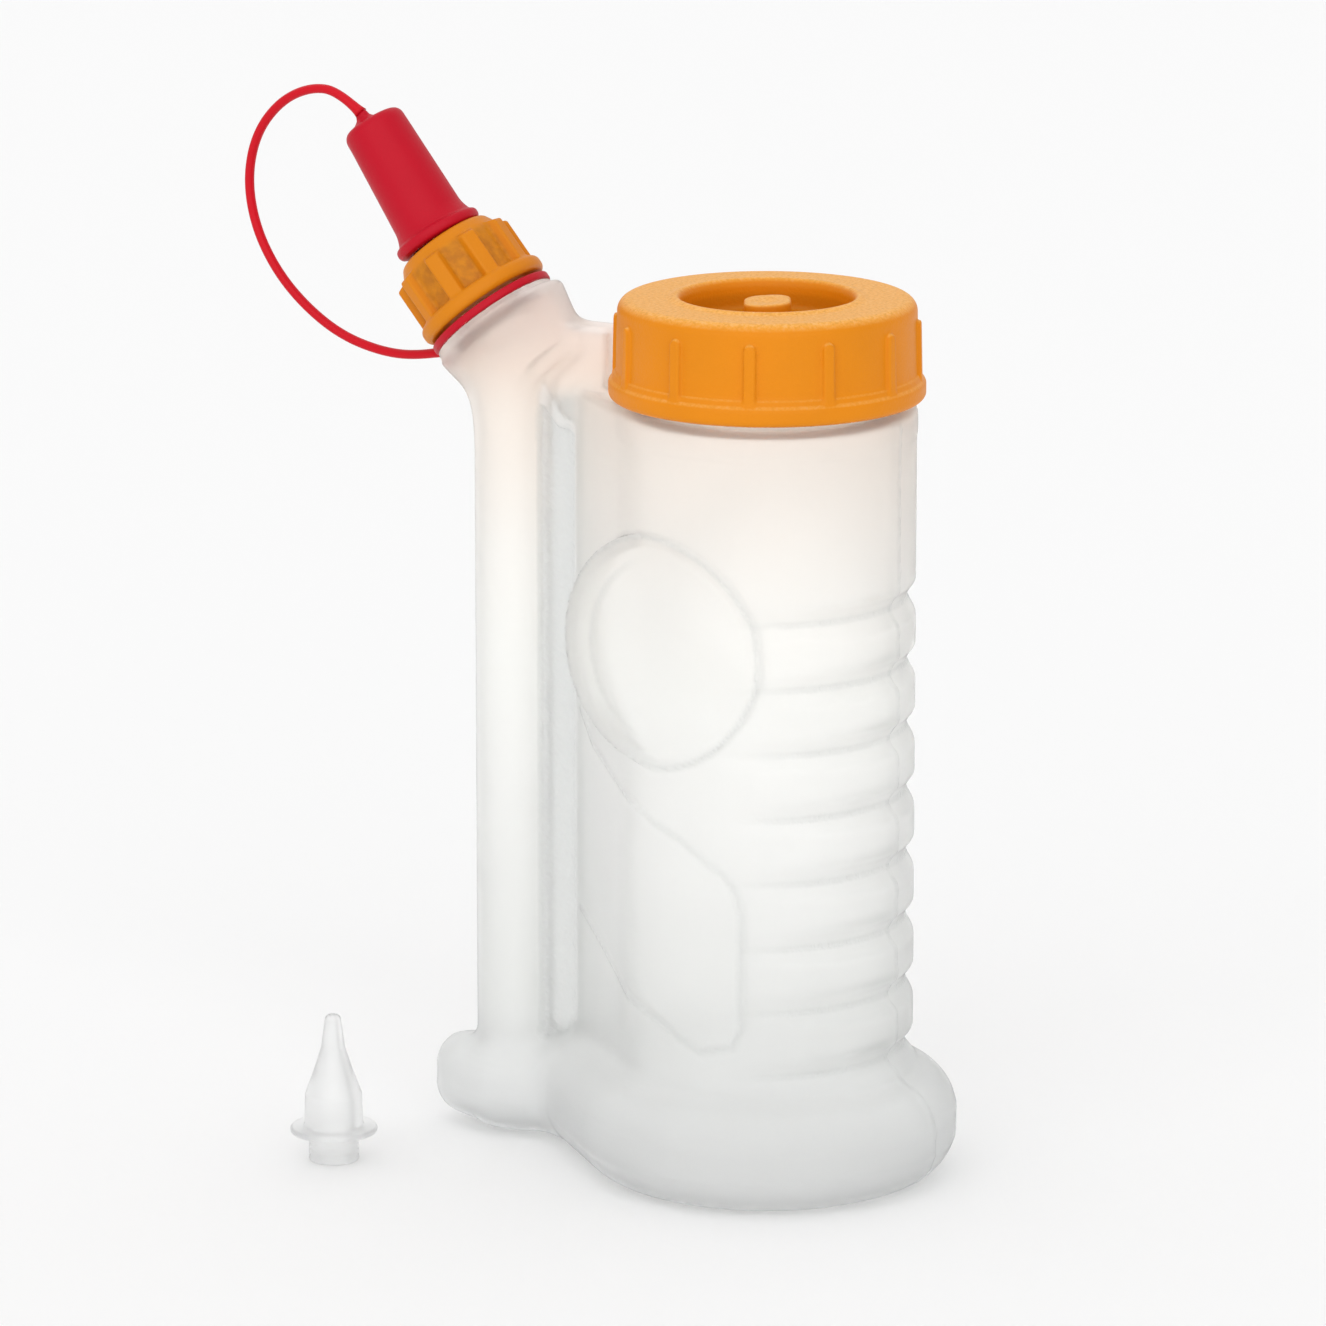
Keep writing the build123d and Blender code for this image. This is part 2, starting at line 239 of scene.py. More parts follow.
def mesh_object(name, points, faces):
    mesh = bpy.data.meshes.new(name)
    mesh.vertices.add(len(points))
    mesh.vertices.foreach_set("co", (points * MM).astype(np.float32).ravel())
    sides = faces.shape[1]
    mesh.loops.add(faces.size)
    mesh.loops.foreach_set("vertex_index", faces.astype(np.int32).ravel())
    mesh.polygons.add(len(faces))
    mesh.polygons.foreach_set("loop_start", np.arange(0, faces.size, sides, dtype=np.int32))
    mesh.update(calc_edges=True)
    mesh.validate()
    mesh.shade_smooth()
    piece = bpy.data.objects.new(name, mesh)
    COLLECTION.objects.link(piece)
    return piece


# ------------------------------------------------------------------ spout frame
SPOUT_LEAN = math.radians(40.0)
SPOUT_AT = np.array([-42.0, 0.0, 113.2])
SPOUT_DIR = np.array([-math.sin(SPOUT_LEAN), 0.0, math.cos(SPOUT_LEAN)])
SPOUT_SIDE = np.array([math.cos(SPOUT_LEAN), 0.0, math.sin(SPOUT_LEAN)])


def on_spout(points):
    """Points drawn upright, x away from the cap's strap, put on the spout's axis."""
    return (SPOUT_AT + points[:, :1] * SPOUT_SIDE + points[:, 1:2] * np.array([0, 1.0, 0])
            + points[:, 2:] * SPOUT_DIR)


# ------------------------------------------------------------------ bottle
WALL = 1.2
CHAMBER_R, BAND_Z, SHOULDER_Z = 19.8, 101.8, 105.6
MOUTH_R, MOUTH_BORE_R, MOUTH_TOP_Z, LID_PITCH = 17.2, 15.4, 117.2, 4.23
TUBE_X, TUBE_R, TUBE_TOP_Z, INNER_LOW_Z = -39.1, 5.25, 109.6, 6.0
WEB_X, WEB_HALF, GUSSET_X, GUSSET_HALF = -29.5, 1.2, -31.3, 2.15
COLLAR_R, COLLAR_LOW, LAND_R, FINISH_R, FINISH_TOP, NUT_PITCH = 9.9, -11.0, 9.1, 5.95, 9.9, 3.175
FOOT_R, FOOT_TOP_Z, FOOT_EDGE, LOBE_LOW_Z, LOBE_TOP_Z, LOBE_EDGE = 25.9, 15.0, 6.6, 1.1, 12.4, 4.3
GROOVE_COUNT, GROOVE_TOP_Z, GROOVE_PITCH = 8, 79.8, 8.8
GROOVE_SECTION_R, GROOVE_DEPTH, GROOVE_FADE = 2.05, 1.2, 62.0
PAD_X, PAD_Z, PAD_R, PAD_TURN = -6.9, 74.7, 15.6, math.radians(14)
PANEL_UPPER = [(-26.5, 61.5), (-22.7, 57.6), (-17.9, 55.6), (-11.5, 53.3), (-2.1, 50.1), (4.3, 45.8),
               (5.9, 43.3), (6.6, 40.5)]
PANEL_RIGHT = [(6.6, 40.5), (6.6, 25.0), (5.4, 22.3), (1.0, 21.3)]
PANEL_LOWER = [(-26.7, 33.7), (-21.0, 31.0), (-12.3, 26.2), (-6.1, 24.5), (-2.1, 22.7), (1.0, 21.3)]


def spout_coordinates(x, y, z):
    dx, dz = x - SPOUT_AT[0], z - SPOUT_AT[2]
    along = dx * SPOUT_DIR[0] + dz * SPOUT_DIR[2]
    across = dx * SPOUT_SIDE[0] + dz * SPOUT_SIDE[2]
    return across, y, along


def helix_ridge(r, angle, v, radius, pitch, low, high, thick, proud):
    """A screw thread's ridge: distance to a half-round bead wound on a cylinder."""
    turn = angle / (2 * math.pi)
    phase = (v - low) / pitch - turn
    nearest = (phase - np.round(phase)) * pitch
    run_out = np.clip(np.minimum(v - low, high - v) / (pitch * 0.35), 0, 1)
    bead = length(r - radius + thick - proud * run_out, nearest) - thick
    return np.maximum(bead, slab(v, low - thick, high + thick))


def groove_axis(z):
    """Height above the nearest grip groove's middle."""
    low_z = GROOVE_TOP_Z - (GROOVE_COUNT - 1) * GROOVE_PITCH
    nth = np.clip(np.round((z - low_z) / GROOVE_PITCH), 0, GROOVE_COUNT - 1)
    return z - low_z - nth * GROOVE_PITCH


def bottle_outer(x, y, z):
    r = length(x, y)
    ay = np.abs(y)
    # chamber with its band, and the wedge that narrows to the web
    band = 0.22 * step_up(z, BAND_Z, 0.7)
    chamber = rod(r, z, CHAMBER_R, INNER_LOW_Z, SHOULDER_Z, 1.1) - band
    wedge = prism(egg_2d(x, y, 0, CHAMBER_R, -27.6, 2.05), z, INNER_LOW_Z, SHOULDER_Z - 0.3, 1.0)
    body = smooth_min(chamber, wedge, 0.5)
    # pads: flats that leave the chamber as tangents, cut by a circle seen from the side
    flats = egg_2d(x, y, 0, CHAMBER_R, -37.2, CHAMBER_R - 37.2 * math.sin(PAD_TURN))
    from_pad = length(x - PAD_X, z - PAD_Z)
    pad = smooth_max(flats, from_pad - PAD_R, 0.5)
    body = smooth_min(body, pad, 0.6)
    on_side = step_up(ay, 4.0, 3.0)
    body = body + on_side * 0.34 * (1 - step_up(from_pad, PAD_R - 1.1, 1.0))
    # grip grooves
    press = GROOVE_DEPTH / (1 - math.cos(math.radians(GROOVE_FADE)))
    ring_r = CHAMBER_R + GROOVE_SECTION_R - GROOVE_DEPTH + press
    groove = length(length(x + press, y) - ring_r, groove_axis(z)) - GROOVE_SECTION_R
    groove = np.where(x > -press, groove, 5.0)
    body = smooth_max(body, -groove, 0.9)
    # web, tube, gusset
    web = box_2d(x - WEB_X, z - 54.5, 9.6, 48.7, 0.5)
    web = smooth_max(web, ay - WEB_HALF, 0.3)
    tube = rod(length(x - TUBE_X, y), z, TUBE_R, INNER_LOW_Z, TUBE_TOP_Z, 1.0)
    gusset_plan = box_2d(x - GUSSET_X, z - 106.65, 7.8, 7.15, 0.7)
    diagonal = (x + 31.0) * -0.78 - (z - 99.5) * 0.62
    gusset = smooth_max(smooth_max(gusset_plan, diagonal, 0.6), ay - GUSSET_HALF, 0.6)
    # spout collar, land and neck
    sx, sy, sv = spout_coordinates(x, y, z)
    sr = length(sx, sy)
    pinch = 1 + 0.17 * ramp_up(-sv - 2.4, 2.5)
    collar = rod(length(sx - 0.45, sy * pinch), sv, COLLAR_R, COLLAR_LOW, -0.75, 0.9) / pinch
    collar = smooth_min(collar, rod(sr, sv, LAND_R, -1.2, 0.05, 0.3), 0.35)
    finish = rod(sr, sv, FINISH_R, -2.0, FINISH_TOP, 0.5)
    thread = helix_ridge(sr, np.arctan2(sy, sx), sv, FINISH_R, NUT_PITCH, 2.6, 8.9, 0.55, 0.5)
    finish = smooth_min(finish, thread, 0.3)
    column = smooth_min(tube, collar, 2.2)
    body = smooth_min(body, web, 0.8)
    body = smooth_min(body, column, 0.9)
    body = smooth_min(body, gusset, 0.9)
    # foot with the lobe that carries the tube
    foot = prism(egg_2d(x, y, 0, FOOT_R, -28.8, 6.6), z, 0.0, FOOT_TOP_Z, FOOT_EDGE)
    lobe = prism(egg_2d(x, y, TUBE_X, 7.8, -46.1, 4.85), z, LOBE_LOW_Z, LOBE_TOP_Z, LOBE_EDGE)
    bridge = prism(box_2d(x + 33.0, y, 8.0, 5.8, 0.5), z, LOBE_LOW_Z, LOBE_TOP_Z, LOBE_EDGE)
    base = smooth_min(smooth_min(foot, lobe, 2.0), bridge, 2.6)
    body = smooth_min(body, base, 2.6)
    # mouth with its thread
    mouth = rod(r, z, MOUTH_R, SHOULDER_Z - 2.0, MOUTH_TOP_Z, 0.5)
    thread = helix_ridge(r, np.arctan2(y, x), z, MOUTH_R, LID_PITCH, 108.2, 116.0, 0.8, 0.8)
    mouth = smooth_min(mouth, thread, 0.4)
    body = smooth_min(body, mouth, 0.9)
    body = smooth_min(body, finish, 0.8)
    return body


def to_line(u, v, line):
    """Distance from (u, v) to a line of straight runs."""
    best = np.full(np.shape(u), 1e9)
    for (u0, v0), (u1, v1) in zip(line, line[1:]):
        du, dv = u1 - u0, v1 - v0
        t = np.clip(((u - u0) * du + (v - v0) * dv) / (du * du + dv * dv), 0, 1)
        best = np.minimum(best, length(u - u0 - t * du, v - v0 - t * dv))
    return best


def bottle_marks(x, y, z):
    """Small relief of the outside: pad rim, panel outline, parting line and groove creases."""
    ay = np.abs(y)
    on_side = step_up(ay, 3.0, 2.0)
    from_pad = length(x - PAD_X, z - PAD_Z)
    rim = near(from_pad - PAD_R + 0.1, 0.34) * on_side
    inner_lip = near(length(x - PAD_X - 1.6, z - PAD_Z) - PAD_R + 2.9, 0.4) * (1 - step_up(x, -12.0, 9.0))
    rim = rim + 0.6 * inner_lip * on_side
    panel = np.minimum(to_line(x, z, PANEL_UPPER), to_line(x, z, PANEL_RIGHT))
    panel = np.minimum(panel, to_line(x, z, PANEL_LOWER))
    outline = near(panel, 0.42) * on_side
    waver = 0.12 * np.sin(z * 0.9) + 0.1 * np.sin(z * 2.3 + 1)
    seam = near(y - waver, 0.3) * (1 - step_up(z, 105.0, 1.0)) * np.where((x > 5) | (x < -41), 1.0, 0.0)
    fade = 1 - step_up(np.arctan2(ay, x), math.radians(58), math.radians(46))
    crease = near(groove_axis(z), 0.38) * fade * np.where(x > 0, 1.0, 0.0)
    foot_lines = near(z - 5.2 - 0.25 * np.sin(x * 0.11), 0.5) + 0.8 * near(z - 9.6 + 0.02 * x, 0.5)
    return rim, outline, seam, crease, foot_lines


def bottle_shade(x, y, z):
    """How much painted shade darkens the outside: in creases, along the pad rim, panel outline and seam,
    and on the pinched, stippled web.
    """
    rim, outline, seam, crease, _ = bottle_marks(x, y, z)
    web = np.where((x > -34.3) & (x < -26.6), 1.0, 0.0) * (1 - step_up(np.abs(y), 2.2, 1.0))
    web = web * step_up(z, 12, 4) * (1 - step_up(z, 104, 3))
    return np.clip(0.85 * rim + 0.6 * outline + 0.6 * seam + 0.8 * crease + 0.9 * web, 0, 1)


def hollowed(outer, x, y, z):
    r = length(x, y)
    sx, sy, sv = spout_coordinates(x, y, z)
    hollow = outer + WALL
    mouth_bore = rod(r, z, MOUTH_BORE_R, SHOULDER_Z - 1.0, MOUTH_TOP_Z + 3, 0.2)
    spout_bore = rod(length(sx, sy), sv, 3.65, -4.0, 14.0, 0.2)
    neck_solid = np.minimum(rod(r, z, MOUTH_R + 2, SHOULDER_Z - 0.4, MOUTH_TOP_Z + 2, 0.2),
                            rod(length(sx, sy), sv, 7.4, -1.2, 12.0, 0.2))
    hollow = np.maximum(hollow, -neck_solid)
    hollow = smooth_min(hollow, mouth_bore, 0.8)
    hollow = smooth_min(hollow, spout_bore, 0.8)
    return hollow


def bottle_rough(x, y, z):
    outer = bottle_outer(x, y, z)
    return smooth_max(outer, -hollowed(outer, x, y, z), 0.3)


def bottle_field(x, y, z):
    """The inner wall follows the outside without its small relief."""
    outer = bottle_outer(x, y, z)
    rim, outline, seam, crease, foot_lines = bottle_marks(x, y, z)
    seam = seam * step_up(z, 1.2, 0.8)
    relief = 0.22 * rim + 0.2 * outline + 0.14 * seam - 0.26 * crease + 0.07 * foot_lines
    return smooth_max(outer - relief, -hollowed(outer, x, y, z), 0.3)


# ------------------------------------------------------------------ lid
LID_LOW_Z, LID_TOP_Z, LID_R, LID_FLANGE_R, LID_FLANGE_H = 106.7, 120.0, 20.1, 21.1, 2.6
LID_BORE_R, LID_PLATE, LID_RIBS, LID_RIB_PHASE = 18.3, 1.6, 12, math.radians(-7.8)
RECESS_R, RECESS_FLOOR_Z, POST_TOP_Z = 11.4, 116.1, 119.6


def around(x, y, count, phase):
    """Across and outward distances in the frame of the nearest of count evenly spaced spokes."""
    pitch = 2 * math.pi / count
    angle = np.arctan2(y, x) - phase
    off = angle - np.round(angle / pitch) * pitch
    r = length(x, y)
    return r * np.sin(off), r * np.cos(off)


def lid_field(x, y, z):
    r = length(x, y)
    taper = 0.022 * np.clip(z - 109.0, 0, 12)
    barrel = rod(r + taper, z, LID_R, LID_LOW_Z, LID_TOP_Z, 1.7)
    flange = rod(r, z, LID_FLANGE_R, LID_LOW_Z, LID_LOW_Z + LID_FLANGE_H, 0.75)
    low_rim = rod(r, z, LID_R + 0.35, LID_LOW_Z, LID_LOW_Z + LID_FLANGE_H + 0.7, 0.3)
    outer = smooth_min(smooth_min(barrel, flange, 0.5), low_rim, 0.5)
    across, out = around(x, y, LID_RIBS, LID_RIB_PHASE)
    rib_plan = length(across, np.clip(z - 116.6, 0, 9)) - 0.8
    rib = smooth_max(rib_plan, out + taper - LID_R - 0.55, 0.25)
    rib = np.maximum(rib, slab(z, 108.6, 119.0))
    rib = np.maximum(rib, LID_R - 2.0 - out)
    outer = smooth_min(outer, rib, 0.25)
    lip = length(r - RECESS_R - 0.85, z - LID_TOP_Z + 0.35) - 0.62
    outer = smooth_min(outer, lip, 0.7)
    outer = smooth_max(outer, -rod(r, z, RECESS_R, RECESS_FLOOR_Z, LID_TOP_Z + 6, 0.8), 0.9)
    turned = math.radians(-60.5)
    u = x * math.cos(turned) + y * math.sin(turned)
    v = -x * math.sin(turned) + y * math.cos(turned)
    post = box_2d(u, v, 3.9, 3.15, 2.7)
    post = smooth_max(post, z - POST_TOP_Z - 0.05 * v + 0.35 * np.exp(-(u * u + v * v) / 3.0), 0.45)
    post = np.maximum(post, RECESS_FLOOR_Z - 1.0 - z)
    outer = smooth_min(outer, post, 0.5)
    bowl = rod(r, z, RECESS_R + LID_PLATE, RECESS_FLOOR_Z - LID_PLATE, LID_TOP_Z + 4, 1.5)
    hollow = rod(r, z, LID_BORE_R, LID_LOW_Z - 8, LID_TOP_Z - LID_PLATE, 0.5)
    thread = helix_ridge(-r, np.arctan2(y, x) + 0.2, z, -LID_BORE_R, LID_PITCH, 108.0, 115.6, 0.4, 0.25)
    hollow = smooth_max(hollow, -bowl, 0.6)
    hollow = np.maximum(hollow, -thread)
    return smooth_max(outer, -hollow, 0.3)


# ------------------------------------------------------------------ nut, ring, cap, tips (upright)
NUT_LOW, NUT_TOP, NUT_R, NUT_FLANGE_R, NUT_FLANGE_H = 1.7, 12.4, 7.65, 9.45, 2.3
NUT_BORE_R, NUT_MOUTH_R, NUT_RIBS, NUT_RIB_PHASE, NUT_RIB_R = 6.8, 4.4, 9, math.radians(-76), 8.85
RING_IN_R, RING_R, RING_LOW, RING_T = 6.9, 9.25, 0.1, 1.1
CAP_LEAN, CAP_BASE, CAP_LEN, CAP_BORE_LEN = math.radians(35.6), 13.1, 18.7, 17.2
STRAP_R = 0.65
TIP_SEAT = 5.95


def nut_field(x, y, v):
    r = length(x, y)
    shoulder = 0.55 * ramp_up(v - NUT_TOP + 2.0, 0.8)
    barrel = rod(r + shoulder, v, NUT_R, NUT_LOW, NUT_TOP, 0.5)
    flange = rod(r, v, NUT_FLANGE_R, NUT_LOW, NUT_LOW + NUT_FLANGE_H, 0.95)
    across, out = around(x, y, NUT_RIBS, NUT_RIB_PHASE)
    rib = smooth_max(np.abs(across) - 1.0 - 0.25 * (NUT_RIB_R - out), out - NUT_RIB_R, 0.3)
    rib = smooth_max(rib, v - NUT_TOP + 1.75 + 0.35 * (out - NUT_R), 0.3)
    rib = np.maximum(rib, NUT_LOW + 1 - v)
    rib = np.maximum(rib, NUT_BORE_R + 0.3 - out)
    outer = smooth_min(smooth_min(barrel, flange, 0.5), rib, 0.25)
    bore = rod(r, v, NUT_BORE_R, NUT_LOW - 3, NUT_TOP - 1.45, 0.5)
    mouth = rod(r, v, NUT_MOUTH_R, NUT_TOP - 4, NUT_TOP + 4, 0.1)
    thread = helix_ridge(-r, np.arctan2(y, x) + 0.5, v, -NUT_BORE_R, NUT_PITCH, 2.6, 9.4, 0.25, 0.15)
    hollow = np.maximum(bore, -thread)
    return smooth_max(outer, -smooth_min(hollow, mouth, 0.4), 0.35)


def nut_shade(x, y, v):
    """Painted shade on the floors of the gaps between the ribs."""
    low = 1 - step_up(length(x, y), NUT_R + 0.35, 0.6)
    return low * step_up(v, NUT_LOW + NUT_FLANGE_H - 0.1, 0.8) * (1 - step_up(v, NUT_TOP - 1.9, 1.2))


def ring_field(x, y, v):
    r = length(x, y)
    middle = (RING_IN_R + RING_R) / 2
    band = box_2d(r - middle, v - RING_LOW - RING_T / 2, (RING_R - RING_IN_R) / 2, RING_T / 2, 0.3)
    tab = length(np.clip(np.abs(x + 9.0) - 0.8, 0, None), y * 0.75, v - RING_LOW - RING_T / 2) - 0.62
    return smooth_min(band, tab, 0.7)


def cap_field(x, y, v):
    """Upright, rim at 0; the strap's root stands on the top and narrows into the strap."""
    r = length(x, y)
    radius = 5.02 - 0.68 * np.clip(v - 2.0, 0, 20) / 16
    body = smooth_max(r - radius, v - CAP_LEN, 1.5)
    body = smooth_max(body, -v, 0.3)
    lip = rod(r, v, 6.2, 0.0, 1.35, 0.55)
    skirt = smooth_max(r - 5.9 + 0.75 * np.clip(v - 0.8, 0, 9), -v, 0.3)
    body = smooth_min(smooth_min(body, skirt, 1.2), lip, 0.35)
    root_r = np.interp(v, (CAP_LEN - 1.0, CAP_LEN, CAP_LEN + 0.9, CAP_LEN + 2.0), (2.9, 1.9, 1.05, 0.7))
    root = (length(x + 0.95 - 0.15 * (v - CAP_LEN), y * 1.15) - root_r) * 0.85
    root = smooth_max(root, slab(v, CAP_LEN - 1.5, CAP_LEN + 1.8), 0.5)
    body = smooth_min(body, root, 1.0)
    bore_r = 4.35 - 1.1 * np.clip(v - 5.0, 0, 13) / 12.2
    bore = smooth_max(r - bore_r, v - CAP_BORE_LEN, 0.6)
    return smooth_max(body, -bore, 0.3)


def tip_field(x, y, v):
    r = length(x, y)
    stub = rod(r, v, 3.35, 0.0, 6.0, 0.25) + 0.06 * np.cos(v * 2 * math.pi / 0.8) * (v < 3.6)
    flange = rod(r, v, 5.9, 4.0, 4.85, 0.35)
    waist = 0.028 * np.clip(v - 5, 0, 4.4)
    cone_r = np.interp(v, (0, 4.5, 9.4, 12.4, 15.9, 20.5, 30), (4.0, 4.0, 3.86, 2.75, 1.62, 1.0, 1.0))
    cone = smooth_max(smooth_max((r - cone_r) * 0.95, v - 20.5, 0.7), 4.0 - v, 0.2)
    outer = smooth_min(smooth_min(stub, flange, 0.5), cone, 0.5)
    bore_r = np.interp(v, (-1, 8.8, 15.9, 21), (2.45, 2.45, 0.75, 0.4))
    return smooth_max(outer, -(r - bore_r) * 0.95, 0.2)


# ------------------------------------------------------------------ strap
STRAP_ROUTE = [(-49.38, 107.82), (-53.9, 106.7), (-59.8, 106.7), (-66.4, 108.4), (-72.2, 112.0),
               (-76.8, 116.6), (-80.0, 122.4), (-81.1, 128.9), (-79.6, 135.2), (-75.7, 139.9),
               (-70.9, 142.2), (-66.4, 142.1), (-62.8, 139.3)]


def strap_line(samples):
    """Smooth line through the route: quadratic spline with the route as its control points."""
    route = np.array([(x, 0.0, z) for x, z in STRAP_ROUTE])
    spans = len(route) - 2
    middles = [route[0]] + [(route[i] + route[i + 1]) / 2 for i in range(1, spans)] + [route[-1]]
    line = []
    for i in range(spans):
        t = np.linspace(0, 1, samples, endpoint=(i == spans - 1))[:, None]
        line.append((1 - t) ** 2 * middles[i] + 2 * t * (1 - t) * route[i + 1] + t * t * middles[i + 1])
    return np.concatenate(line)


def strap_mesh():
    line = strap_line(16)
    tangent = np.gradient(line, axis=0)
    tangent /= np.linalg.norm(tangent, axis=1)[:, None]
    side = np.array([0, 1.0, 0])
    run = np.concatenate([[0], np.cumsum(np.linalg.norm(np.diff(line, axis=0), axis=1))])
    from_end = np.minimum(run, run[-1] - run)
    thick = STRAP_R * (1.02 + 0.4 * np.exp(-from_end / 0.9))
    sides = 20
    rings = []
    for at, along, radius in zip(line, tangent, thick):
        up = np.cross(along, side)
        turn = np.arange(sides) * 2 * math.pi / sides
        rim = np.cos(turn)[:, None] * side * 1.05 + np.sin(turn)[:, None] * up * 0.95
        rings.append(at + radius * rim)
    points = np.concatenate(rings + [line[:1], line[-1:]])
    faces = []
    for i in range(len(line) - 1):
        for j in range(sides):
            k = (j + 1) % sides
            faces.append((i * sides + j, i * sides + k, (i + 1) * sides + k, (i + 1) * sides + j))
    first, last = len(points) - 2, len(points) - 1
    ends = (len(line) - 1) * sides
    caps = []
    for j in range(sides):
        k = (j + 1) % sides
        caps.append((first, k, j))
        caps.append((last, ends + j, ends + k))
    mesh = bpy.data.meshes.new("tether_strap_piece")
    mesh.from_pydata([tuple(p * MM) for p in points], [], faces + caps)
    mesh.validate()
    mesh.shade_smooth()
    piece = bpy.data.objects.new("tether_strap_piece", mesh)
    COLLECTION.objects.link(piece)
    return piece


# ------------------------------------------------------------------ materials
def node_material(name, colour, rough, **inputs):
    material = bpy.data.materials.new(name)
    material.use_nodes = True
    shader = material.node_tree.nodes["Principled BSDF"]
    shader.inputs["Base Color"].default_value = (*colour, 1)
    shader.inputs["Roughness"].default_value = rough
    for key, value in inputs.items():
        shader.inputs[key.replace("_", " ")].default_value = value
    return material, material.node_tree, shader


def noise(tree, scale, detail=2.0, rough=0.5, distortion=0.0):
    """Noise in the piece's own coordinates; scale is in features per metre."""
    place = tree.nodes.new("ShaderNodeTexCoord")
    node = tree.nodes.new("ShaderNodeTexNoise")
    node.inputs["Scale"].default_value = scale
    node.inputs["Detail"].default_value = detail
    node.inputs["Roughness"].default_value = rough
    node.inputs["Distortion"].default_value = distortion
    tree.links.new(place.outputs["Object"], node.inputs["Vector"])
    return node


def ramp(tree, source, stops):
    node = tree.nodes.new("ShaderNodeValToRGB")
    elements = node.color_ramp.elements
    while len(elements) < len(stops):
        elements.new(0.5)
    for element, (at, colour) in zip(elements, stops):
        element.position = at
        element.color = (*colour, 1)
    tree.links.new(source, node.inputs["Fac"])
    return node


def bump(tree, shader, source, depth, strength=1.0, before=None):
    node = tree.nodes.new("ShaderNodeBump")
    node.inputs["Strength"].default_value = strength
    node.inputs["Distance"].default_value = depth
    tree.links.new(source, node.inputs["Height"])
    if before is not None:
        tree.links.new(before.outputs["Normal"], node.inputs["Normal"])
    tree.links.new(node.outputs["Normal"], shader.inputs["Normal"])
    return node


def moulded(name, colour, rough, grain_scale, grain_depth, shift=0.04, **inputs):
    """Moulded plastic: soft colour drift, fine grain and uneven gloss."""
    material, tree, shader = node_material(name, colour, rough, Specular_IOR_Level=0.16, **inputs)
    drift = noise(tree, 60, 3)
    dark = tuple(c * (1 - shift) for c in colour)
    light = tuple(min(1, c * (1 + shift)) for c in colour)
    colours = ramp(tree, drift.outputs["Fac"], [(0.3, dark), (0.7, light)])
    tree.links.new(colours.outputs["Color"], shader.inputs["Base Color"])
    gloss = noise(tree, 900, 2)
    spread = tree.nodes.new("ShaderNodeMapRange")
    spread.inputs["To Min"].default_value = rough - 0.05
    spread.inputs["To Max"].default_value = rough + 0.07
    tree.links.new(gloss.outputs["Fac"], spread.inputs["Value"])
    tree.links.new(spread.outputs["Result"], shader.inputs["Roughness"])
    grain = noise(tree, grain_scale, 3, 0.6)
    bump(tree, shader, grain.outputs["Fac"], grain_depth)
    return material, tree, shader


def attribute(tree, name):
    node = tree.nodes.new("ShaderNodeAttribute")
    node.attribute_name = name
    return node.outputs["Fac"]


def mixed(tree, factor, first, second, blend="MIX"):
    node = tree.nodes.new("ShaderNodeMix")
    node.data_type = "RGBA"
    node.blend_type = blend
    for socket, value in ((0, factor), (6, first), (7, second)):
        if isinstance(value, (tuple, float, int)):
            node.inputs[socket].default_value = (*value, 1) if isinstance(value, tuple) else value
        else:
            tree.links.new(value, node.inputs[socket])
    return node.outputs[2]


def let_light_through(tree, shader, share):
    """Lamps shine through: shadow rays pass a share of the light."""
    output = tree.nodes["Material Output"]
    ray = tree.nodes.new("ShaderNodeLightPath")
    scale = tree.nodes.new("ShaderNodeMath")
    scale.operation = "MULTIPLY"
    scale.inputs[1].default_value = share
    clear = tree.nodes.new("ShaderNodeBsdfTransparent")
    clear.inputs["Color"].default_value = (1, 1, 1, 1)
    mix = tree.nodes.new("ShaderNodeMixShader")
    tree.links.new(ray.outputs["Is Shadow Ray"], scale.inputs[0])
    tree.links.new(scale.outputs[0], mix.inputs["Fac"])
    tree.links.new(shader.outputs["BSDF"], mix.inputs[1])
    tree.links.new(clear.outputs["BSDF"], mix.inputs[2])
    tree.links.new(mix.outputs["Shader"], output.inputs["Surface"])


# share of the bottle's height, and its colour there: darker towards the foot, and a painted warm glow from
# the orange lid near the top
BODY_TINT_AND_LID_GLOW = [(0.0, (0.885, 0.89, 0.89)), (0.16, (0.93, 0.935, 0.925)), (0.4, (0.97, 0.97, 0.96)),
              (0.56, (1.0, 1.0, 0.985)), (0.68, (1.0, 0.99, 0.97)), (0.85, (1.0, 0.955, 0.91)),
              (0.9, (1.0, 0.92, 0.86)), (1.0, (1.0, 0.93, 0.895))]


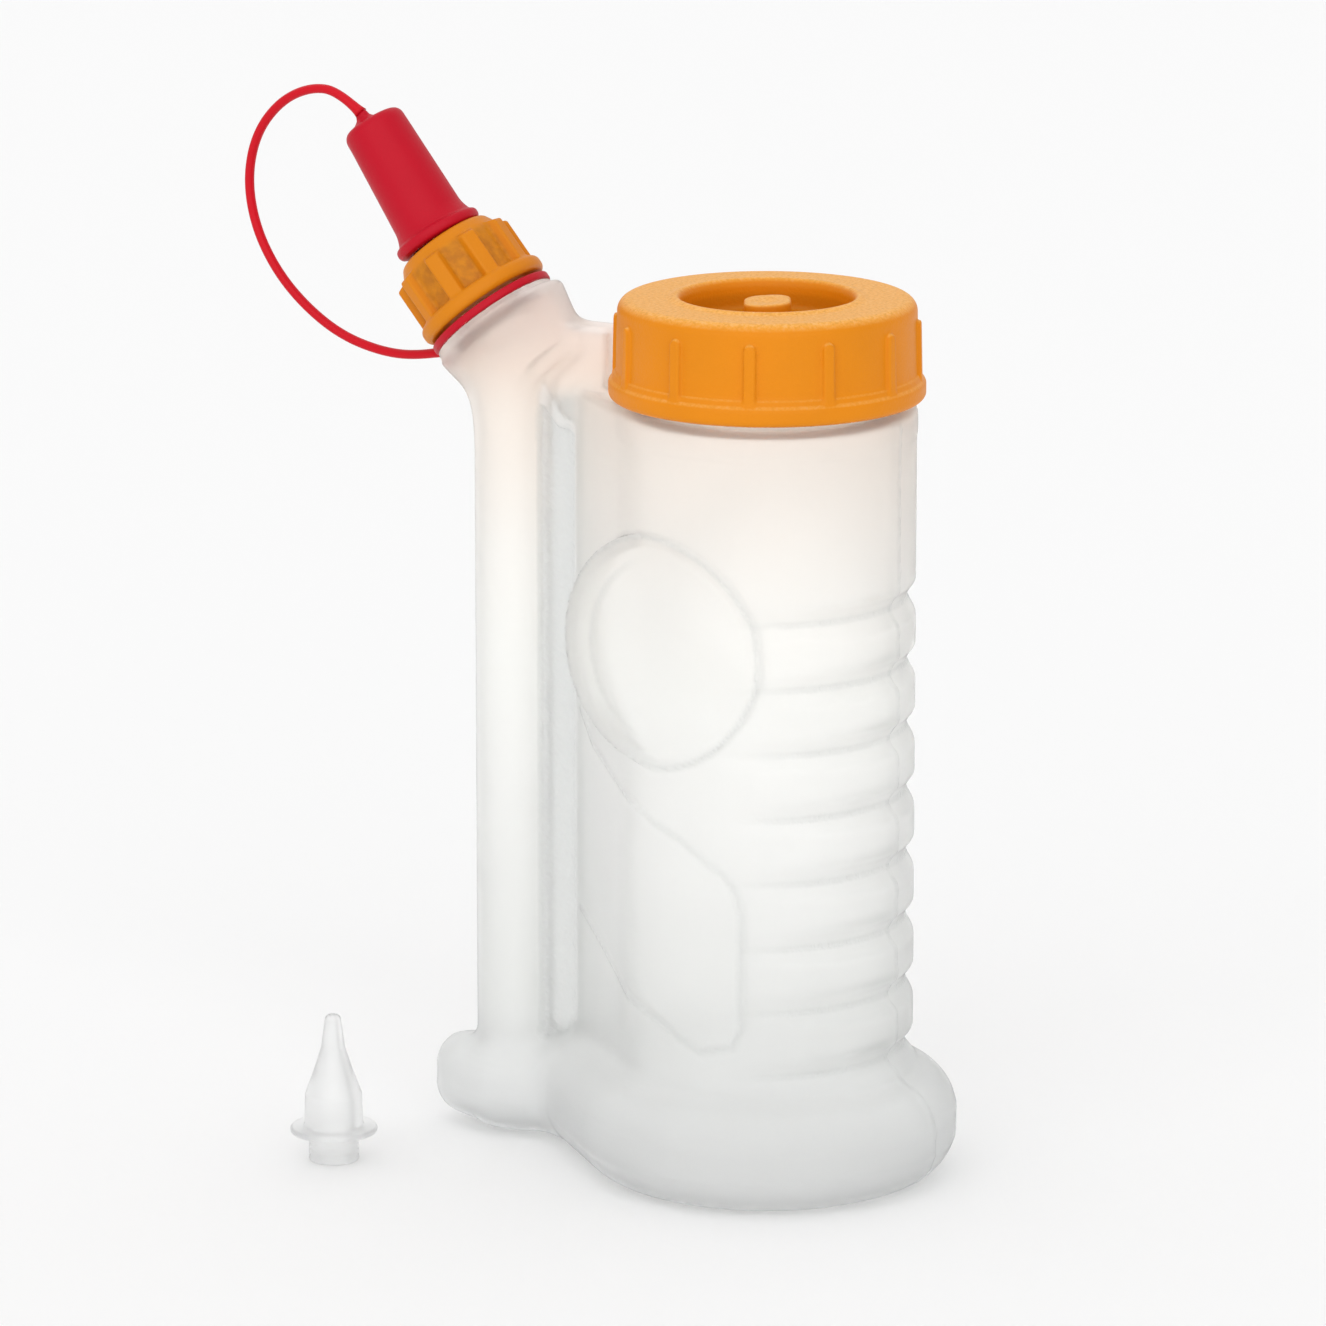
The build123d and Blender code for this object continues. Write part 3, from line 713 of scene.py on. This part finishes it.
def ldpe():
    """Natural polyethylene, milky; darker and cooler towards the foot, with a painted warm glow near the
    top where light bounces from the orange lid.
    """
    material, tree, shader = node_material(
        "ldpe_body", (1.0, 1.0, 1.0), 0.5, IOR=1.2, Transmission_Weight=0.8)
    place = tree.nodes.new("ShaderNodeTexCoord")
    split = tree.nodes.new("ShaderNodeSeparateXYZ")
    tree.links.new(place.outputs["Object"], split.inputs[0])
    height = tree.nodes.new("ShaderNodeMapRange")
    height.inputs["From Max"].default_value = 0.12
    tree.links.new(split.outputs["Z"], height.inputs["Value"])
    # painted glow: the warm tints near the top stand for light bounced from the orange lid
    tint_and_glow = ramp(tree, height.outputs["Result"], BODY_TINT_AND_LID_GLOW)
    drift = noise(tree, 45, 3, 0.55, 0.4)
    cloud = ramp(tree, drift.outputs["Fac"], [(0.35, (0.975, 0.975, 0.975)), (0.65, (1, 1, 1))])
    colour = mixed(tree, 1.0, tint_and_glow.outputs["Color"], cloud.outputs["Color"], "MULTIPLY")
    # painted shade: by the vertex mask "depth", creases, the pad rim, panel outline, seam and pinched web
    # darken towards grey
    colour = mixed(tree, attribute(tree, "depth"), colour, (0.78, 0.79, 0.78))
    tree.links.new(colour, shader.inputs["Base Color"])
    ripple = noise(tree, 160, 3, 0.55)
    first = bump(tree, shader, ripple.outputs["Fac"], 0.00012, 0.5)
    stipple = noise(tree, 1500, 2, 0.5)
    only_deep = tree.nodes.new("ShaderNodeMath")
    only_deep.operation = "MULTIPLY"
    tree.links.new(stipple.outputs["Fac"], only_deep.inputs[0])
    tree.links.new(attribute(tree, "depth"), only_deep.inputs[1])
    bump(tree, shader, only_deep.outputs[0], 0.0004, 0.7, before=first)
    let_light_through(tree, shader, 0.8)
    return material


# ------------------------------------------------------------------ pieces
def field_piece(name, field, low, high, step, material, body, node, place=None,
                shade=None, mirror=False, rough_field=None):
    """A piece whose surface is field = 0; shade, a mask of painted shade, becomes its vertex attribute
    "depth".
    """
    points, faces = net_surface(field, low, high, step, mirror_y=mirror, rough_field=rough_field)
    depth = np.zeros(len(points)) if shade is None else shade(*points.T)
    if place is not None:
        points = place(points)
    piece = mesh_object(name, points, faces)
    if shade is not None and len(piece.data.vertices) == len(depth):
        layer = piece.data.color_attributes.new("depth", "FLOAT_COLOR", "POINT")
        grey = np.stack([depth, depth, depth, np.ones(len(depth))], 1)
        layer.data.foreach_set("color", grey.astype(np.float32).ravel())
    piece.data.materials.append(material)
    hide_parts(node)
    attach(piece, body)
    return piece


def lid_shade(x, y, z):
    """Painted shade in the recess, round the post."""
    return (1 - step_up(length(x, y), RECESS_R + 0.3, 1.2)) * (1 - step_up(z, POST_TOP_Z - 1.3, 1.0))


def at_height(points, height):
    return on_spout(points + np.array([0, 0, height]))


def on_cap(points):
    base = on_spout(np.array([[0, 0, CAP_BASE]]))[0]
    along = np.array([-math.sin(CAP_LEAN), 0, math.cos(CAP_LEAN)])
    side = np.array([math.cos(CAP_LEAN), 0, math.sin(CAP_LEAN)])
    return base + points[:, :1] * side + points[:, 1:2] * np.array([0, 1.0, 0]) + points[:, 2:] * along


ORANGE = (0.74, 0.238, 0.0035)
# paler colours painted as sheen on the lid's upward faces, with random flecks
TOP_SHEEN_ORANGE = (0.87, 0.4, 0.065)
TOP_SHEEN_FLECK = (0.88, 0.47, 0.14)
# painted shade colour for the lid's recess round the post
RECESS_PAINTED_SHADE = (0.58, 0.19, 0.003)
YELLOW_ORANGE = (0.66, 0.215, 0.005)
# painted shade colours, mottled, for the gaps between the nut's ribs
GAP_SHADE_DARK = (0.42, 0.15, 0.012)
GAP_SHADE_LIGHT = (0.60, 0.225, 0.010)
CRIMSON = (0.49, 0.003, 0.017)
BRIGHT_RED = (0.58, 0.004, 0.014)

body_plastic = ldpe()
lid_plastic, lid_tree, lid_shader = moulded("lid_orange", ORANGE, 0.42, 2600, 0.00006)
lid_side = lid_shader.inputs["Base Color"].links[0].from_socket
lid_place = lid_tree.nodes.new("ShaderNodeTexCoord")
lid_split = lid_tree.nodes.new("ShaderNodeSeparateXYZ")
lid_tree.links.new(lid_place.outputs["Normal"], lid_split.inputs[0])
# painted sheen: faces whose object-space normal points up take the paler, flecked top colour
lid_up = lid_tree.nodes.new("ShaderNodeMapRange")
lid_up.inputs["From Min"].default_value = 0.45
lid_up.inputs["From Max"].default_value = 0.95
lid_tree.links.new(lid_split.outputs["Z"], lid_up.inputs["Value"])
speckle = noise(lid_tree, 2200, 2, 0.6)
top_sheen_colour = ramp(lid_tree, speckle.outputs["Fac"], [
    (0.34, tuple(c * 0.84 for c in TOP_SHEEN_ORANGE)), (0.5, TOP_SHEEN_ORANGE), (0.66, TOP_SHEEN_FLECK)])
lid_colour = mixed(lid_tree, lid_up.outputs["Result"], lid_side, top_sheen_colour.outputs["Color"])
# painted shade in the recess round the post, by the vertex mask "depth"
lid_colour = mixed(lid_tree, attribute(lid_tree, "depth"), lid_colour, RECESS_PAINTED_SHADE)
lid_tree.links.new(lid_colour, lid_shader.inputs["Base Color"])
nut_plastic, nut_tree, nut_shader = moulded("nut_orange", YELLOW_ORANGE, 0.4, 1500, 0.00004)
nut_base = nut_shader.inputs["Base Color"].links[0].from_socket
# painted shade: the gaps between the ribs darken to a mottled brown by the vertex mask "depth"
mottle = noise(nut_tree, 700, 3, 0.6)
gap_shade = ramp(nut_tree, mottle.outputs["Fac"], [(0.35, GAP_SHADE_DARK), (0.65, GAP_SHADE_LIGHT)])
gap_shade_share = nut_tree.nodes.new("ShaderNodeMath")
gap_shade_share.operation = "MULTIPLY"
gap_shade_share.inputs[1].default_value = 0.75
nut_tree.links.new(attribute(nut_tree, "depth"), gap_shade_share.inputs[0])
nut_colour = mixed(nut_tree, gap_shade_share.outputs[0], nut_base, gap_shade.outputs["Color"])
nut_tree.links.new(nut_colour, nut_shader.inputs["Base Color"])
red_plastic, _, _ = moulded("cap_red", CRIMSON, 0.42, 1500, 0.00003)
strap_plastic, _, _ = moulded("strap_red", BRIGHT_RED, 0.35, 1500, 0.00002)
tip_plastic, tip_tree, tip_shader = node_material(
    "tip_clear", (0.965, 0.967, 0.965), 0.3, IOR=1.25, Transmission_Weight=0.9)
tip_ripple = noise(tip_tree, 500, 2)
bump(tip_tree, tip_shader, tip_ripple.outputs["Fac"], 0.00006, 0.5)
let_light_through(tip_tree, tip_shader, 0.75)
gasket_foam, _, _ = moulded("gasket_foam", (0.85, 0.85, 0.82), 0.7, 2500, 0.00008)

bottle = field_piece("bottle_shell", bottle_field, (-53, -28, -2), (28, 28, 126), 0.44,
                     body_plastic, "bottle", "bottle_body", shade=bottle_shade, mirror=True,
                     rough_field=bottle_rough)
lid = field_piece("lid_shell", lid_field, (-22, -22, 105), (22, 22, 122), 0.3,
                  lid_plastic, "lid", "screw_lid", shade=lid_shade)
nut = field_piece("spout_nut_shell", nut_field, (-10.5, -10.5, 0), (10.5, 10.5, 14.5), 0.2,
                  nut_plastic, "nut", "spout_nut", on_spout, shade=nut_shade)
ring = field_piece("tether_ring_piece", ring_field, (-11, -10, -1), (10, 10, 2.2), 0.16,
                   red_plastic, "tether", "tether_ring", on_spout)
cap = field_piece("tip_cap_shell", cap_field, (-7.4, -7.4, -1.2), (7.4, 7.4, 22), 0.2,
                  red_plastic, "cap", "tip_cap", on_cap)
fitted = field_piece("fitted_tip", tip_field, (-6.5, -6.5, -1), (6.5, 6.5, 21.5), 0.2,
                     tip_plastic, "nozzle", "nozzle_tip", lambda p: at_height(p, TIP_SEAT))
spare_low, spare_high = cad_box("spare_tip")
spare_at = np.array([(spare_low[0] + spare_high[0]) / 2, (spare_low[1] + spare_high[1]) / 2, 0.0])
spare = field_piece("loose_tip", tip_field, (-6.5, -6.5, -1), (6.5, 6.5, 21.5), 0.16,
                    tip_plastic, "spare", "spare_tip", lambda p: p + spare_at)

strap = strap_mesh()
strap.data.materials.append(strap_plastic)
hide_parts("tether_strap")
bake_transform(strap)

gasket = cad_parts["lid_gasket"]
gasket.data.materials.clear()
gasket.data.materials.append(gasket_foam)

# ------------------------------------------------------------------ camera, floor and lights
AZIMUTH, ELEVATION = math.radians(29.5), math.radians(13.5)
DISTANCE, AIM_RIGHT, AIM_Z = 1109.3, -13.81, 70.21
back = Vector((math.sin(AZIMUTH) * math.cos(ELEVATION), -math.cos(AZIMUTH) * math.cos(ELEVATION),
               math.sin(ELEVATION)))
aim = Vector((math.cos(AZIMUTH) * AIM_RIGHT, math.sin(AZIMUTH) * AIM_RIGHT, AIM_Z))
camera_data = bpy.data.cameras.new("camera")
camera_data.lens = 225.34
camera_data.sensor_width = 36.0
camera_data.clip_start = 0.05
camera_data.clip_end = 50
camera = bpy.data.objects.new("camera", camera_data)
camera.location = (aim + back * DISTANCE) * MM
camera.rotation_mode = "QUATERNION"
camera.rotation_quaternion = (-back).to_track_quat("-Z", "Y")
COLLECTION.objects.link(camera)
bpy.context.scene.camera = camera

floor_mesh = bpy.data.meshes.new("floor")
FLOOR_HALF = 6.0
floor_mesh.from_pydata([(-FLOOR_HALF, -FLOOR_HALF, 0), (FLOOR_HALF, -FLOOR_HALF, 0),
                        (FLOOR_HALF, FLOOR_HALF, 0), (-FLOOR_HALF, FLOOR_HALF, 0)], [], [(0, 1, 2, 3)])
floor = bpy.data.objects.new("floor", floor_mesh)
COLLECTION.objects.link(floor)
floor_material, _, _ = node_material("floor", (0.915, 0.915, 0.915), 0.9)
floor_mesh.materials.append(floor_material)

world = bpy.data.worlds.new("studio")
world.use_nodes = True
bpy.context.scene.world = world
world.node_tree.nodes["Background"].inputs["Color"].default_value = (1, 1, 1, 1)
world.node_tree.nodes["Background"].inputs["Strength"].default_value = 0.74

for name, energy, angle, heading in (("top_softbox", 0.5, 100, (0.25, -0.35, -1)),
                                     ("front_softbox", 1.42, 90, (-0.35, 0.85, -0.3))):
    sun_data = bpy.data.lights.new(name, "SUN")
    sun_data.energy = energy
    sun_data.angle = math.radians(angle)
    sun = bpy.data.objects.new(name, sun_data)
    sun.rotation_mode = "QUATERNION"
    sun.rotation_quaternion = Vector(heading).to_track_quat("-Z", "Y")
    COLLECTION.objects.link(sun)
bpy.context.scene.view_settings.view_transform = "Standard"
